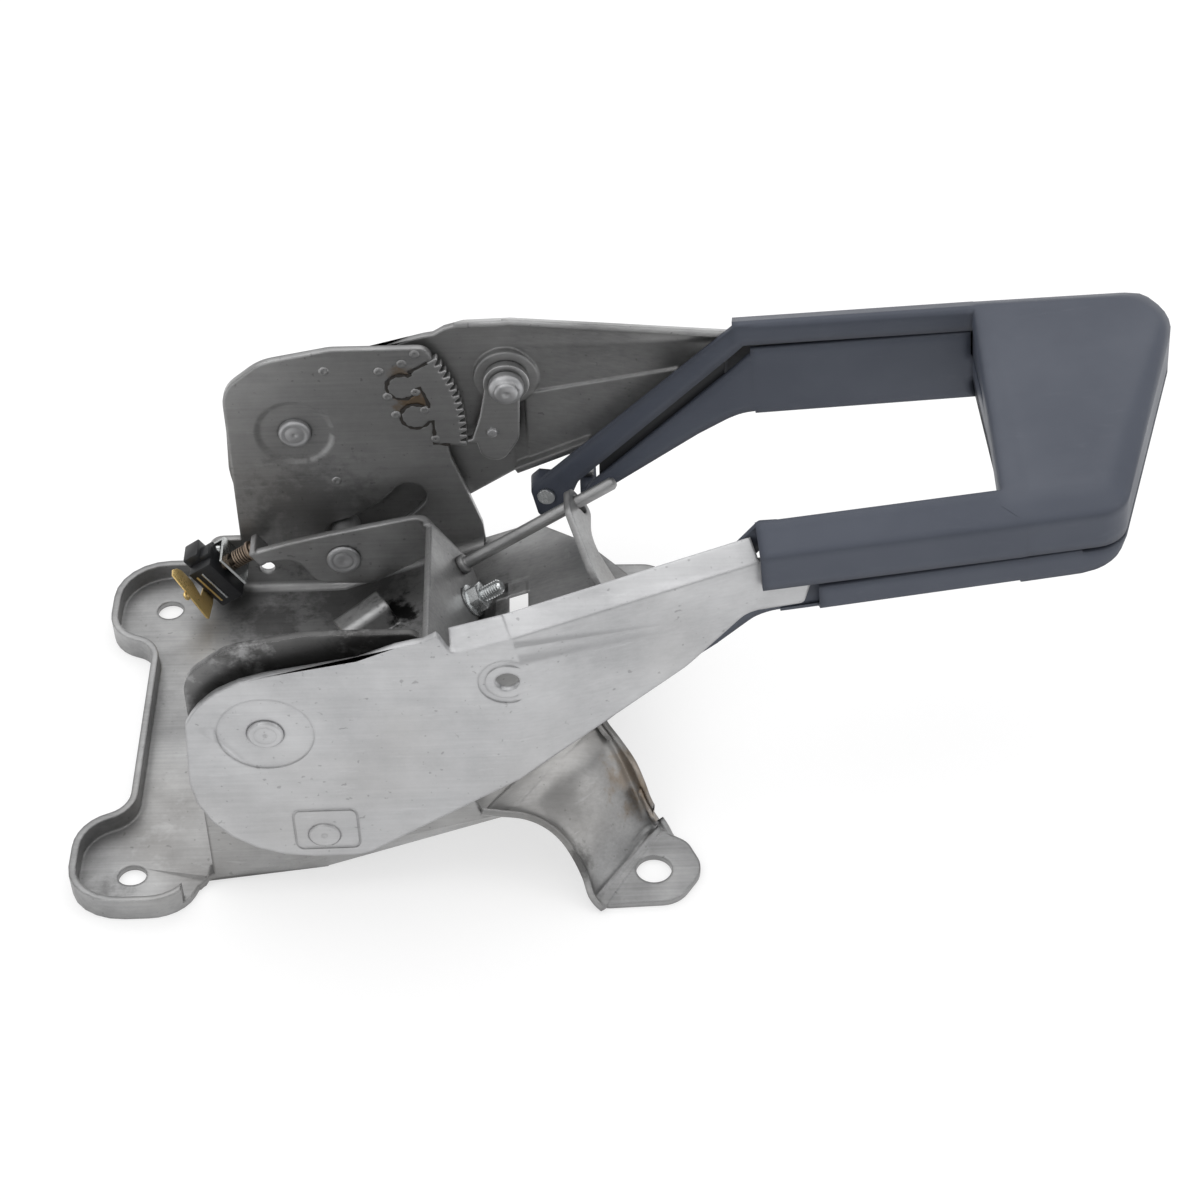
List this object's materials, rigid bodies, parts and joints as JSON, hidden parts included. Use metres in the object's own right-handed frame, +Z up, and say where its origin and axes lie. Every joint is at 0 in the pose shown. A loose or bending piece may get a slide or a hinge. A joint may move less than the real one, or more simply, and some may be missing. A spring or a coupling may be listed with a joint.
{
  "type": "parking brake lever",
  "caption": "Pull-up parking brake lever: stamped steel base, toothed sector and pawl, cable yoke with adjuster, lamp switch and a U-shaped plastic handle with a squeeze release",
  "frame": {"origin": "midway between the two rear mounting holes, on the mounting plane under the base", "axes": "+X runs forward from the rear bolts to the handle, +Y across the lever to the side with the toothed sector, +Z up from the mounting plane"},
  "size_m": [0.3878, 0.1806, 0.1516],
  "materials": {
    "grey_steel": "bare pressed sheet, satin",
    "bright_steel": "bare pressed sheet, brighter satin",
    "zinc_plate": "zinc plated",
    "slate_plastic": "fine grained moulding",
    "black_plastic": "plain moulding",
    "brass": "plain",
    "spring_wire": "oil-darkened wire"
  },
  "bodies": {
    "base": {"base_plate": "grey_steel", "ratchet_sector": "grey_steel", "guide_tab": "bright_steel", "pivot_pins": "bright_steel", "switch_bracket": "zinc_plate", "switch_housing": "black_plastic", "switch_terminal": "brass", "switch_rivet": "zinc_plate"},
    "lever": {"near_arm": "bright_steel", "far_arm": "grey_steel", "yoke_pins": "bright_steel", "pawl_pin": "bright_steel", "handle_bridge": "grey_steel", "upper_cover": "slate_plastic", "cover_screw": "zinc_plate", "hinge_pins": "bright_steel"},
    "yoke": {"yoke": "grey_steel", "guide_rod": "bright_steel", "adjuster_stud": "zinc_plate", "adjuster_nut": "zinc_plate"},
    "plunger": {"switch_plunger": "spring_wire", "switch_spring": "spring_wire"},
    "pawl": {"pawl": "grey_steel", "pawl_stud": "bright_steel", "pawl_finger": "grey_steel"},
    "grip": {"release_grip": "slate_plastic"}
  },
  "joints": [
    {"name": "lever_swing", "type": "hinge", "parent": "base", "child": "lever", "pos_m": [0.055, 0.006, 0.0793], "axis": [0, -1, 0], "range_deg": [0, 34]},
    {"name": "yoke_tilt", "type": "hinge", "parent": "lever", "child": "yoke", "pos_m": [0.06994, 0.006, 0.02981], "axis": [0, -1, 0], "range_deg": [-34, 0]},
    {"name": "switch_travel", "type": "slide", "parent": "base", "child": "plunger", "axis": [0.831, 0, 0.5563], "range_m": [0, 0.0035]},
    {"name": "release", "type": "hinge", "parent": "lever", "child": "grip", "pos_m": [0.32026, 0.006, 0.12375], "axis": [0, 1, 0], "range_deg": [-0.6, 0.8], "stiffness_Nm_per_rad": 150},
    {"name": "pawl_swing", "type": "hinge", "parent": "lever", "child": "pawl", "pos_m": [0.1345, 0.081, 0.1], "axis": [0, -1, 0], "range_deg": [-3.4, 4.5]}
  ],
  "couplings": [
    {"joint": "yoke_tilt", "follows": "lever_swing", "ratio": -1},
    {"joint": "switch_travel", "follows": "lever_swing", "m_per_rad": 0.0058},
    {"joint": "pawl_swing", "follows": "release", "ratio": 5.5}
  ]
}
